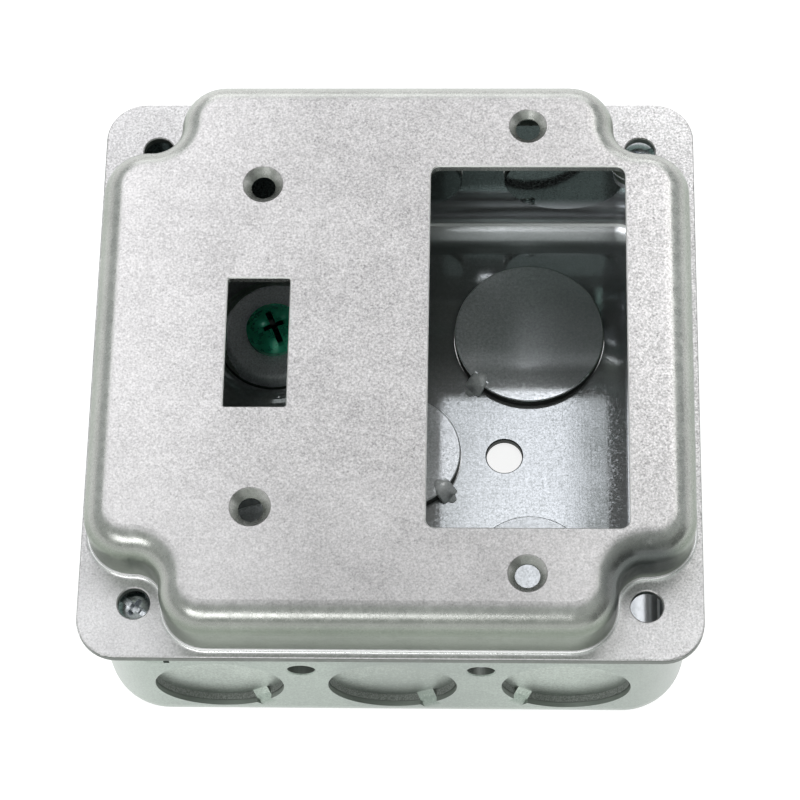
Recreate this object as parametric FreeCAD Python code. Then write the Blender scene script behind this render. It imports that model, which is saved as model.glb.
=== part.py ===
import FreeCAD, Part
import math
import os

from FreeCAD import Rotation, Vector

# Two-gang junction box: a drawn square steel box with a raised cover laid on its rim.
# The cover takes a toggle switch on the left and a receptacle with a square face on the right.
# Frame, in millimetres: the origin is the centre of the box's back, +Z runs out of the back
# to the cover's face, and +Y is up the height of the switch and the receptacle.

# Box, drawn from one sheet
box_side = 101.6
box_depth = 38.1
box_sheet = 1.6
box_corner_radius = 11.0
box_edge_radius = 9.0
sheared_edge_bevel = 0.2

# Knockouts: discs sheared from the sheet, pushed inward and held by one tie each
half_inch_knockout = 22.2
three_quarter_knockout = 28.2
shear_gap = 0.12
knockout_push = 1.95
tie_width = 3.4
tie_bend_radius = 1.3
tie_slope = 45.0
tie_overlap = 0.5
wall_knockout_pitch = 29.85
wall_knockout_height = 20.2
left_tie_angle = -50.0
middle_tie_angle = -57.0
right_tie_angle = -135.0

# Knockouts of the back: place, diameter and the angle of the tie
back_knockouts = [
    (0.0, 0.0, half_inch_knockout, -42.0),
    (23.8, -23.6, half_inch_knockout, 20.0),
    (23.6, 24.2, three_quarter_knockout, 226.0),
    (-23.6, -24.2, three_quarter_knockout, 46.0),
]

# Plain holes
wall_hole_diameter = 4.7
wall_hole_pitch = 30.6
wall_hole_below_rim = 9.9
mounting_hole_diameter = 6.6
mounting_hole_pitch = 38.1

# Raised boss of the ground screw
boss_x = -24.0
boss_y = 23.5
boss_height = 4.0
boss_base_radius = 13.6
boss_foot_bend = 3.8
boss_crest_bend = 1.0
boss_slope = 70.0

# Ears folded in at two opposite corners, and the cover screws that stand in them
ear_drop = 2.4
ear_bend_radius = 4.0
ear_past_corner = 1.4
ear_slit = 1.0
ear_tip_radius = 3.0
cover_hole_inset = 7.8

# Screws: a shank has the diameter of the middle of its thread
thread_clearance = 0.05
cover_screw_diameter = 3.65
cover_screw_length = 12.7
cover_screw_head_diameter = 7.8
cover_screw_head_height = 2.2
cover_screw_turn = 35.0
ground_screw_diameter = 4.3
ground_screw_length = 5.2
ground_screw_head_diameter = 10.4
ground_screw_head_height = 2.6
ground_screw_turn = -67.0
head_side_share = 0.42
slot_width = 1.1
slot_depth = 0.9
cross_blade_width = 0.95
cross_depth_share = 0.7
cross_span_share = 0.45
screw_tip_chamfer = 0.5

# Cover, drawn from one sheet
cover_sheet = 1.6
flange_overhang = 1.8
flange_corner_radius = 7.0
flange_edge_radius = 0.3
raise_height = 11.9
raise_outset = 0.4
raise_notch_radius = 4.9
raise_corner_straight = 0.4
raise_top_radius = 4.7
raise_foot_radius = 0.8
cover_hole_diameter = 5.5

# Device openings in the cover's face
gang_pitch = 46.04
toggle_slot_width = 10.7
toggle_slot_height = 24.0
toggle_slot_corner_radius = 0.4
toggle_hole_pitch = 60.33
toggle_sink_diameter = 7.1
window_width = 33.7
window_height = 67.3
window_corner_radius = 1.6
window_hole_pitch = 83.34
window_sink_diameter = 6.7
device_hole_diameter = 4.2

# Sizes that follow from the ones above
box_half = box_side / 2
rim_height = box_depth
corner_centre = box_half - box_corner_radius
ear_top = rim_height - ear_drop
ear_edge = corner_centre - ear_past_corner
cover_hole_at = box_half - cover_hole_inset
flange_top = rim_height + cover_sheet
flange_side = box_side + 2 * flange_overhang
cover_top = flange_top + raise_height
raise_side = box_side + 2 * raise_outset
raise_notch = cover_hole_at - raise_notch_radius
raise_corner_radius = raise_side / 2 - cover_hole_at - raise_corner_straight
boss_top = box_sheet + boss_height
margin = 2.0


def rounded_face(corners, z):
    """Flat face at height z whose corners are (x, y, radius), with tangent arcs."""
    edges = []
    arcs = []
    count = len(corners)
    for index, (x, y, radius) in enumerate(corners):
        here = Vector(x, y, z)
        last = Vector(corners[index - 1][0], corners[index - 1][1], z)
        after = Vector(corners[(index + 1) % count][0], corners[(index + 1) % count][1], z)
        back = (last - here).normalize()
        ahead = (after - here).normalize()
        half_angle = back.getAngle(ahead) / 2
        inward = (back + ahead).normalize()
        reach = radius / math.tan(half_angle)
        middle = here + inward * (radius / math.sin(half_angle) - radius)
        arcs.append((here + back * reach, middle, here + ahead * reach))
    for index, (start, middle, end) in enumerate(arcs):
        if corners[index][2] > 0:
            edges.append(Part.Arc(start, middle, end).toShape())
        edges.append(Part.LineSegment(end, arcs[(index + 1) % count][0]).toShape())
    return Part.Face(Part.Wire(edges))


def rectangle(width, height, radius, centre_x=0.0, centre_y=0.0):
    """Corners of a rectangle in plan, for rounded_face."""
    left = centre_x - width / 2
    right = centre_x + width / 2
    low = centre_y - height / 2
    high = centre_y + height / 2
    return [(left, low, radius), (right, low, radius), (right, high, radius), (left, high, radius)]


def prism(corners, low, high):
    """Upright solid over a rounded outline, from height low to height high."""
    return rounded_face(corners, low).extrude(Vector(0, 0, high - low))


def edges_at(shape, z):
    """Edges that lie wholly in the plane at height z."""
    flat = []
    for edge in shape.Edges:
        box = edge.BoundBox
        if abs(box.ZMin - z) < 1e-4 and abs(box.ZMax - z) < 1e-4:
            flat.append(edge)
    return flat


def rims(shape, diameter):
    """Round edges of one diameter: the two rims of each hole of that size."""
    return [edge for edge in shape.Edges if edge.Curve.TypeId == "Part::GeomCircle"
            and abs(edge.Curve.Radius - diameter / 2) < 1e-4]


def cylinder(radius, low, high, x=0.0, y=0.0):
    """Upright cylinder from height low to height high."""
    return Part.makeCylinder(radius, high - low, Vector(x, y, low))


def joggle_run(rise, foot_bend, crest_bend, slope):
    """Length that a sheet needs to step sideways by rise, through a bend at each end."""
    angle = math.radians(slope)
    bends = foot_bend + crest_bend
    straight = (rise - bends * (1 - math.cos(angle))) / math.sin(angle)
    return bends * math.sin(angle) + straight * math.cos(angle)


def joggle_face(start, rise, foot_bend, crest_bend, slope, sheet, lead, tail):
    """Section of a stepped sheet in the XZ plane, from x = start + lead towards the axis.

    The sheet lies on z = 0 as far as start, climbs by rise through two bends, and runs on
    level for the length tail. A bend's radius is that of the middle of the sheet.
    """
    angle = math.radians(slope)
    run = joggle_run(rise, foot_bend, crest_bend, slope)
    foot = Vector(start, 0, foot_bend + sheet / 2)
    crest = Vector(start - run, 0, rise - crest_bend + sheet / 2)

    def on_foot(radius, turn):
        return foot + Vector(-math.sin(turn), 0, -math.cos(turn)) * radius

    def on_crest(radius, turn):
        return crest + Vector(math.sin(turn), 0, math.cos(turn)) * radius

    half = sheet / 2
    low = [Vector(start + lead, 0, 0)]
    high = [Vector(start + lead, 0, sheet)]
    for turn in (0, angle / 2, angle):
        low.append(on_foot(foot_bend + half, turn))
        high.append(on_foot(foot_bend - half, turn))
    for turn in (angle, angle / 2, 0):
        low.append(on_crest(crest_bend - half, turn))
        high.append(on_crest(crest_bend + half, turn))
    low.append(Vector(start - run - tail, 0, rise))
    high.append(Vector(start - run - tail, 0, rise + sheet))
    edges = []
    for side in (low, high):
        if lead > 0:
            edges.append(Part.LineSegment(side[0], side[1]).toShape())
        edges.append(Part.Arc(side[1], side[2], side[3]).toShape())
        edges.append(Part.LineSegment(side[3], side[4]).toShape())
        edges.append(Part.Arc(side[4], side[5], side[6]).toShape())
        edges.append(Part.LineSegment(side[6], side[7]).toShape())
    edges.append(Part.LineSegment(low[0], high[0]).toShape())
    edges.append(Part.LineSegment(low[-1], high[-1]).toShape())
    return Part.Face(Part.Wire(Part.__sortEdges__(edges)))


def knockout(diameter, tie_angle):
    """Cutter and plug of one knockout: the sheet's outer face is z = 0 and +Z is inward."""
    radius = diameter / 2
    run = joggle_run(knockout_push, tie_bend_radius, tie_bend_radius, tie_slope)
    tie_start = radius + run / 2
    hole = cylinder(radius, -margin, box_sheet + margin)
    footprint = Part.makeBox(run, tie_width, box_sheet + knockout_push + 2 * margin,
                             Vector(tie_start - run, -tie_width / 2, -margin))
    disc_top = knockout_push + box_sheet
    disc = cylinder(radius - shear_gap, knockout_push, disc_top)
    disc = disc.makeChamfer(sheared_edge_bevel, edges_at(disc, disc_top))
    section = joggle_face(tie_start, knockout_push, tie_bend_radius, tie_bend_radius, tie_slope,
                          box_sheet, tie_overlap, tie_overlap)
    section.translate(Vector(0, -tie_width / 2, 0))
    tie = section.extrude(Vector(0, tie_width, 0))
    cutter = hole.fuse(footprint)
    plug = disc.cut(footprint).fuse(tie)
    turned = []
    for shape in (cutter, plug):
        copy = shape.copy()
        copy.rotate(Vector(0, 0, 0), Vector(0, 0, 1), tie_angle)
        turned.append(copy)
    return turned


def on_wall(shape, along, height, wall_turn):
    """Stand a knockout on the front wall and carry it round to another wall.

    The knockout's +Z becomes +Y, into the box, and its +Y becomes +Z, up the wall.
    """
    placed = shape.copy()
    placed.rotate(Vector(0, 0, 0), Vector(1, 0, 0), 90)
    placed.rotate(Vector(0, 0, 0), Vector(0, 0, 1), 180)
    placed.translate(Vector(along, -box_half, height))
    placed.rotate(Vector(0, 0, 0), Vector(0, 0, 1), wall_turn)
    return placed


def box_shell():
    """The drawn tub: rounded corners, rounded edges at the back, open at the rim."""
    inner_side = box_side - 2 * box_sheet
    inner_radius = box_corner_radius - box_sheet
    outer = prism(rectangle(box_side, box_side, box_corner_radius), 0, rim_height)
    outer = outer.makeFillet(box_edge_radius, edges_at(outer, 0))
    inner = prism(rectangle(inner_side, inner_side, inner_radius), box_sheet, rim_height + margin)
    inner = inner.makeFillet(box_edge_radius - box_sheet, edges_at(inner, box_sheet))
    return outer.cut(inner)


def ground_boss():
    """Cutter and formed sheet of the raised round boss."""
    run = joggle_run(boss_height, boss_foot_bend, boss_crest_bend, boss_slope)
    section = joggle_face(boss_base_radius, boss_height, boss_foot_bend, boss_crest_bend,
                          boss_slope, box_sheet, 0.0, boss_base_radius - run)
    boss = section.revolve(Vector(0, 0, 0), Vector(0, 0, 1), 360)
    boss.translate(Vector(boss_x, boss_y, 0))
    cutter = cylinder(boss_base_radius, -margin, box_sheet + margin, boss_x, boss_y)
    hole = cylinder(ground_screw_diameter / 2 + thread_clearance, 0, boss_top + margin,
                    boss_x, boss_y)
    return cutter, boss, hole


def ear():
    """Cutter, folded tab and screw hole of the ear at the corner of +X and +Y."""
    bend_at = box_corner_radius - ear_bend_radius
    bend_low = ear_top - ear_bend_radius
    axis = Vector(corner_centre, corner_centre, 0)
    pivot = axis + Vector(bend_at, 0, bend_low)
    section_edges = []
    for radius in (ear_bend_radius, ear_bend_radius - box_sheet):
        middle = Vector(math.cos(math.pi / 4), 0, math.sin(math.pi / 4)) * radius
        section_edges.append(Part.Arc(pivot + Vector(radius, 0, 0), pivot + middle,
                                      pivot + Vector(0, 0, radius)).toShape())
    for way in (Vector(1, 0, 0), Vector(0, 0, 1)):
        section_edges.append(Part.LineSegment(pivot + way * (ear_bend_radius - box_sheet),
                                              pivot + way * ear_bend_radius).toShape())
    section = Part.Face(Part.Wire(Part.__sortEdges__(section_edges)))
    bend = section.revolve(axis, Vector(0, 0, 1), 90)
    side_one = section.extrude(Vector(0, -ear_past_corner, 0))
    side_two = side_one.mirror(axis, Vector(1, -1, 0))
    flat_to = corner_centre + bend_at
    plate = prism([(flat_to, ear_edge, 0), (flat_to, flat_to, bend_at), (ear_edge, flat_to, 0),
                   (ear_edge, ear_edge, ear_tip_radius)], ear_top - box_sheet, ear_top)
    tab = plate.fuse([bend, side_one, side_two])
    cut_from = ear_edge - ear_slit
    cut_size = box_half - cut_from + margin
    cutter = Part.makeBox(cut_size, cut_size, rim_height - bend_low + margin,
                          Vector(cut_from, cut_from, bend_low))
    hole = cylinder(cover_screw_diameter / 2 + thread_clearance, ear_top - box_sheet - margin,
                    ear_top + margin, cover_hole_at, cover_hole_at)
    return cutter, tab, hole


def box_body():
    """The whole box: tub, ears, boss, knockouts and plain holes, one piece of sheet."""
    shell = box_shell()
    cutters = []
    plugs = []
    holes = []
    for x, y, diameter, tie_angle in back_knockouts:
        for shape, group in zip(knockout(diameter, tie_angle), (cutters, plugs)):
            shape.translate(Vector(x, y, 0))
            group.append(shape)
    wall_pattern = [(-wall_knockout_pitch, left_tie_angle), (0.0, middle_tie_angle),
                    (wall_knockout_pitch, right_tie_angle)]
    for wall in range(4):
        for along, tie_angle in wall_pattern:
            pair = knockout(half_inch_knockout, 180 - tie_angle)
            for shape, group in zip(pair, (cutters, plugs)):
                group.append(on_wall(shape, along, wall_knockout_height, 90 * wall))
    for side in (-1, 1):
        through = Part.makeCylinder(wall_hole_diameter / 2, box_side + 2 * margin,
                                    Vector(side * wall_hole_pitch / 2, -box_half - margin,
                                           rim_height - wall_hole_below_rim), Vector(0, 1, 0))
        holes.append(through)
        holes.append(cylinder(mounting_hole_diameter / 2, -margin, box_sheet + margin,
                              side * mounting_hole_pitch / 2, 0))
    boss_cutter, boss, boss_hole = ground_boss()
    cutters.append(boss_cutter)
    plugs.append(boss)
    holes.append(boss_hole)
    ear_cutter, tab, ear_hole = ear()
    for turn in (0, 180):
        for shape, group in ((ear_cutter, cutters), (tab, plugs), (ear_hole, holes)):
            copy = shape.copy()
            copy.rotate(Vector(0, 0, 0), Vector(0, 0, 1), turn)
            group.append(copy)
    body = shell.cut(cutters).fuse(plugs).cut(holes).removeSplitter()
    sheared = [edge for edge in rims(body, mounting_hole_diameter)
               if edge.CenterOfMass.z > box_sheet / 2]
    sheared += [edge for edge in rims(body, wall_hole_diameter)
                if abs(edge.CenterOfMass.y) > box_half - box_sheet / 2]
    return body.makeChamfer(sheared_edge_bevel, sheared)


def raise_outline(inset):
    """Plan of the raised part: a square with its corners notched round the cover holes."""
    side = raise_side / 2 - inset
    notch = raise_notch - inset
    out = raise_corner_radius - inset
    hollow = raise_notch_radius + inset
    quarter = [(side, notch, out), (notch, notch, hollow), (notch, side, out)]
    corners = []
    for turn in range(4):
        for x, y, radius in quarter:
            for _ in range(turn):
                x, y = -y, x
            corners.append((x, y, radius))
    return corners


def countersunk_hole(x, y, sink_diameter):
    """Through hole with a cone of 90 degrees, cut from the cover's face."""
    bore = device_hole_diameter / 2
    sink = sink_diameter / 2
    hole = cylinder(bore, flange_top, cover_top + margin, x, y)
    cone = Part.makeCone(bore, sink + margin, sink + margin - bore,
                         Vector(x, y, cover_top - (sink - bore)))
    return hole.fuse(cone)


def raised_cover():
    """The drawn cover: a flat flange, the raised part and its device openings."""
    flange = prism(rectangle(flange_side, flange_side, flange_corner_radius),
                   rim_height, flange_top)
    flange = flange.makeFillet(flange_edge_radius, edges_at(flange, flange_top))
    block = prism(raise_outline(0), rim_height, cover_top)
    block = block.makeFillet(raise_top_radius, edges_at(block, cover_top))
    body = flange.fuse(block).removeSplitter()
    foot = [edge for edge in edges_at(body, flange_top) if on_raise_outline(edge)]
    body = body.makeFillet(raise_foot_radius, foot)
    hollow = prism(raise_outline(cover_sheet), rim_height - margin, cover_top - cover_sheet)
    hollow = hollow.makeFillet(raise_top_radius - cover_sheet,
                               edges_at(hollow, cover_top - cover_sheet))
    body = body.cut(hollow)
    mouth = [edge for edge in edges_at(body, rim_height) if not on_flange_rim(edge)]
    body = body.makeFillet(raise_foot_radius + cover_sheet, mouth)
    body = body.cut(cover_openings())
    sheared = [edge for edge in rims(body, cover_hole_diameter)
               if edge.CenterOfMass.z > rim_height + cover_sheet / 2]
    return body.makeChamfer(sheared_edge_bevel, sheared)


def on_raise_outline(edge):
    """True for an edge that follows the foot of the raised part."""
    reach = raise_side / 2 + 1e-3
    box = edge.BoundBox
    return max(abs(box.XMin), abs(box.XMax), abs(box.YMin), abs(box.YMax)) < reach


def punched_opening(width, height, corner_radius, centre_x):
    """Cutter of an opening punched in the cover's face, flared at the face for its broken rim."""
    shaft = prism(rectangle(width, height, corner_radius, centre_x), flange_top, cover_top)
    cap = prism(rectangle(width + margin, height + margin, corner_radius + margin / 2, centre_x),
                cover_top, cover_top + margin)
    opening = shaft.fuse(cap)
    inner = [edge for edge in edges_at(opening, cover_top)
             if abs(edge.CenterOfMass.x - centre_x) < (width + sheared_edge_bevel) / 2
             and abs(edge.CenterOfMass.y) < (height + sheared_edge_bevel) / 2]
    return opening.makeChamfer(sheared_edge_bevel, inner)


def on_flange_rim(edge):
    """True for an edge on the outside of the flange."""
    box = edge.BoundBox
    reach = max(abs(box.XMin), abs(box.XMax), abs(box.YMin), abs(box.YMax))
    return reach > flange_side / 2 - 1e-3


def cover_openings():
    """Everything that is cut through the cover."""
    gang = gang_pitch / 2
    cuts = [
        punched_opening(toggle_slot_width, toggle_slot_height, toggle_slot_corner_radius, -gang),
        punched_opening(window_width, window_height, window_corner_radius, gang),
    ]
    for side in (-1, 1):
        cuts.append(countersunk_hole(-gang, side * toggle_hole_pitch / 2, toggle_sink_diameter))
        cuts.append(countersunk_hole(gang, side * window_hole_pitch / 2, window_sink_diameter))
        for across in (-1, 1):
            cuts.append(cylinder(cover_hole_diameter / 2, rim_height - margin,
                                 flange_top + margin, side * cover_hole_at,
                                 across * cover_hole_at))
    return cuts


def screw(diameter, length, head_diameter, head_height, turn):
    """Pan-head screw with a cross and a slot: its seat is z = 0 and its head is above."""
    head = head_diameter / 2
    shank = diameter / 2
    side = head_height * head_side_share
    rise = head_height - side
    dome = (head * head + rise * rise) / (2 * rise)
    half = math.asin(head / dome) / 2
    on_dome = Vector(dome * math.sin(half), 0, head_height - dome + dome * math.cos(half))
    outline = [
        Part.LineSegment(Vector(0, 0, -length), Vector(shank - screw_tip_chamfer, 0, -length)),
        Part.LineSegment(Vector(shank - screw_tip_chamfer, 0, -length),
                         Vector(shank, 0, screw_tip_chamfer - length)),
        Part.LineSegment(Vector(shank, 0, screw_tip_chamfer - length), Vector(shank, 0, 0)),
        Part.LineSegment(Vector(shank, 0, 0), Vector(head, 0, 0)),
        Part.LineSegment(Vector(head, 0, 0), Vector(head, 0, side)),
        Part.Arc(Vector(head, 0, side), on_dome, Vector(0, 0, head_height)),
        Part.LineSegment(Vector(0, 0, head_height), Vector(0, 0, -length)),
    ]
    profile = Part.Face(Part.Wire([piece.toShape() for piece in outline]))
    body = profile.revolve(Vector(0, 0, 0), Vector(0, 0, 1), 360)
    slot = Part.makeBox(head_diameter + margin, slot_width, slot_depth + margin,
                        Vector(-(head_diameter + margin) / 2, -slot_width / 2,
                               head_height - slot_depth))
    body = body.cut([slot] + cross_blades(head_diameter, head_height))
    body.rotate(Vector(0, 0, 0), Vector(0, 0, 1), turn)
    return body


def cross_blades(head_diameter, head_height):
    """Two tapered blades that cut the cross recess."""
    top = head_diameter * cross_span_share / 2
    tip = top / 3
    depth = head_height * cross_depth_share
    corners = [Vector(-top, 0, head_height), Vector(-tip, 0, head_height - depth),
               Vector(tip, 0, head_height - depth), Vector(top, 0, head_height)]
    lift = Vector(0, 0, margin)
    corners = [corners[0] + lift] + corners + [corners[-1] + lift]
    face = Part.Face(Part.makePolygon(corners + [corners[0]]))
    face.translate(Vector(0, -cross_blade_width / 2, 0))
    blade = face.extrude(Vector(0, cross_blade_width, 0))
    other = blade.copy()
    other.rotate(Vector(0, 0, 0), Vector(0, 0, 1), 90)
    return [blade, other]


def cover_screw(corner):
    """Cover screw in its ear: corner is 1 for +X and +Y, and -1 for the opposite one."""
    piece = screw(cover_screw_diameter, cover_screw_length, cover_screw_head_diameter,
                  cover_screw_head_height, cover_screw_turn * corner)
    piece.translate(Vector(corner * cover_hole_at, corner * cover_hole_at, ear_top))
    return piece


def ground_screw():
    """Green ground screw, seated on top of the raised boss."""
    piece = screw(ground_screw_diameter, ground_screw_length, ground_screw_head_diameter,
                  ground_screw_head_height, ground_screw_turn)
    piece.translate(Vector(boss_x, boss_y, boss_top))
    return piece


os.makedirs("parts", exist_ok=True)
pieces = {
    "box_body": box_body(),
    "raised_cover": raised_cover(),
    "cover_screw_front": cover_screw(-1),
    "cover_screw_rear": cover_screw(1),
    "ground_screw": ground_screw(),
}
for name, shape in pieces.items():
    shape.exportStep("parts/" + name + ".step")
    print(name, "valid" if shape.isValid() else "NOT VALID", "solids", len(shape.Solids),
          "volume %.1f" % shape.Volume, "faces", len(shape.Faces))
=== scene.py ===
import math

import bmesh
import bpy
from mathutils import Matrix, Vector


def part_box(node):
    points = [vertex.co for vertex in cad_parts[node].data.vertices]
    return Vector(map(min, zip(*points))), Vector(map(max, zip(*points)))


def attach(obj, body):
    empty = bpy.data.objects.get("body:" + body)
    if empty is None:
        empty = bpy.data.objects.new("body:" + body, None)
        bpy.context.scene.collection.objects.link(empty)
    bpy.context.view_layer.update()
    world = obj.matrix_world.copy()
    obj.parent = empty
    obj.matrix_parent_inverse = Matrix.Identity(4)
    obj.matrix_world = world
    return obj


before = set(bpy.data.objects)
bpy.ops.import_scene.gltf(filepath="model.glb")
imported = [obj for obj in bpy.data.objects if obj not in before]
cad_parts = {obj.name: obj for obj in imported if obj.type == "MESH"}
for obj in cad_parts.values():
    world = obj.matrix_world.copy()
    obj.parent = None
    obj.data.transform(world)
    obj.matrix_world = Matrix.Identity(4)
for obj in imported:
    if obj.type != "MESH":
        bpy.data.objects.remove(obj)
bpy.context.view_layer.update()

# Camera, as fitted to the photograph: it looks down on the cover from in front
CAMERA_TARGET = Vector((0.00156, -0.01077, 0.0516))
CAMERA_DISTANCE = 0.5036
CAMERA_AZIMUTH = math.radians(-5.163)
CAMERA_ELEVATION = math.radians(66.152)
CAMERA_ROLL = math.radians(4.52)
CAMERA_LENS = 134.8
CAMERA_SENSOR = 36.0
CAMERA_CLIP_START = 0.01

# Knockouts, in metres and degrees: discs pushed inward, each held by one stretched tie
BOX_HALF = 0.0508
SHEET = 0.0016
KNOCKOUT_PUSH = 0.00195
HALF_INCH_RADIUS = 0.0111
THREE_QUARTER_RADIUS = 0.0141
BACK_KNOCKOUTS = [(0.0, 0.0, HALF_INCH_RADIUS, -42.0), (0.0238, -0.0236, HALF_INCH_RADIUS, 20.0),
                  (0.0236, 0.0242, THREE_QUARTER_RADIUS, 226.0),
                  (-0.0236, -0.0242, THREE_QUARTER_RADIUS, 46.0)]
WALL_KNOCKOUTS = [(-0.02985, -50.0), (0.0, -57.0), (0.02985, -135.0)]
WALL_KNOCKOUT_HEIGHT = 0.0202

# Stretched tie, in metres: its outline is oval, and its crown fades toward both ends and both sides
TIE_BEND = 0.0013
TIE_SLOPE = math.radians(45.0)
TIE_LEAD = 0.0009
TIE_HALF_WIDTH = 0.00176
TIE_SKIN = 0.00009
TIE_CROWN = 0.00045
TIE_ROOT = 0.0004
TIE_STEPS = 12
TIE_OVAL_REACH = 0.97
TIE_OVAL_POWER = 0.45

# Torn edge under a knockout's disc, in metres
BURR_INSET = 0.00006
BURR_WIDTH = 0.00035
BURR_TIP = 0.00090
BURR_STEPS = 72

# Screw threads, in metres: 8-32 and 10-32, from the tip to the sheet that each one is screwed into.
# A ridge's base reaches a share of the pitch up and down, and it ends a part of a turn early
THREAD_PITCH = 0.000794
THREAD_BASE_SHARE = 0.42
THREAD_END_TURN = 0.5
THREAD_STEPS = 24
COVER_SCREW_CORE = 0.00180
COVER_SCREW_CREST = 0.00205
EAR_UNDERSIDE = 0.0341
GROUND_SCREW_CORE = 0.00212
GROUND_SCREW_CREST = 0.00240
BOSS_UNDERSIDE = 0.0040

# Floor
FLOOR_SIZE = 8.0
FLOOR_COLOUR = (0.80, 0.80, 0.80, 1.0)
FLOOR_SHOWN_COLOUR = (0.50, 0.50, 0.50, 1.0)
FLOOR_GLOW = 0.82
WHITE = (1.0, 1.0, 1.0, 1.0)

# Studio dome: heights are the sine of the elevation, and a patch fades from its inner angle to
# its outer one
HORIZON_TOP = 0.16
DOME_START = 0.34
FRONT_END = -0.6
REAR_START = 0.5
DOME_FRONT = (0.42, 0.45, 0.42, 1.0)
DOME_REAR = (0.48, 0.51, 0.50, 1.0)
GAP_AIM = Vector((0.03, -0.42, 0.91)).normalized()
GAP_INNER = math.cos(math.radians(7.0))
GAP_OUTER = math.cos(math.radians(17.0))
GAP_COLOUR = (0.46, 0.49, 0.47, 1.0)
FLAG_AIM = Vector((0.86, -0.48, 0.14)).normalized()
FLAG_INNER = math.cos(math.radians(12.0))
FLAG_OUTER = math.cos(math.radians(36.0))
FLAG_COLOUR = (0.16, 0.17, 0.16, 1.0)

# Soft lights: name, place, aim, width and depth in metres, radiance, colour
SOFTBOXES = [
    ("rear_overhead_softbox", (-0.096, 0.64, 1.0), (-0.096, 0.64, 0.0), 0.308, 0.72, 1.35,
     (0.97, 0.97, 1.0)),
    ("rear_left_softbox", (-0.50, 0.64, 1.0), (-0.50, 0.64, 0.0), 0.50, 0.72, 1.75,
     (0.99, 0.98, 1.0)),
    ("right_overhead_softbox", (0.42, 0.60, 1.0), (0.42, 0.60, 0.0), 0.44, 0.64, 3.1,
     (1.0, 0.99, 0.98)),
    ("front_left_softbox", (-0.340, -0.770, 0.834), (0.0, 0.0, 0.05), 0.65, 0.32, 3.4,
     (1.0, 1.0, 1.0)),
    ("rear_low_softbox", (0.0, 1.15, 0.55), (0.0, 0.0, 0.05), 1.1, 0.40, 1.35, (1.0, 1.0, 1.0)),
]

# Nearly all of a noise's values lie between these two
NOISE_LOW = 0.3
NOISE_HIGH = 0.7


def look_matrix():
    """The camera's place and turn, from its target, azimuth, elevation and roll."""
    flat = math.cos(CAMERA_ELEVATION)
    forward = Vector((math.sin(CAMERA_AZIMUTH) * flat, math.cos(CAMERA_AZIMUTH) * flat,
                      -math.sin(CAMERA_ELEVATION)))
    right = Vector((math.cos(CAMERA_AZIMUTH), -math.sin(CAMERA_AZIMUTH), 0.0))
    down = forward.cross(right)
    turned_right = right * math.cos(CAMERA_ROLL) + down * math.sin(CAMERA_ROLL)
    turned_down = down * math.cos(CAMERA_ROLL) - right * math.sin(CAMERA_ROLL)
    matrix = Matrix((turned_right, -turned_down, -forward)).transposed().to_4x4()
    matrix.translation = CAMERA_TARGET - forward * CAMERA_DISTANCE
    return matrix


def new_object(name, data):
    """New object of the scene."""
    thing = bpy.data.objects.new(name, data)
    bpy.context.scene.collection.objects.link(thing)
    return thing


def add_camera():
    data = bpy.data.cameras.new("camera")
    data.lens = CAMERA_LENS
    data.sensor_width = CAMERA_SENSOR
    data.clip_start = CAMERA_CLIP_START
    camera = new_object("camera", data)
    camera.matrix_world = look_matrix()
    bpy.context.scene.camera = camera


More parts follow.
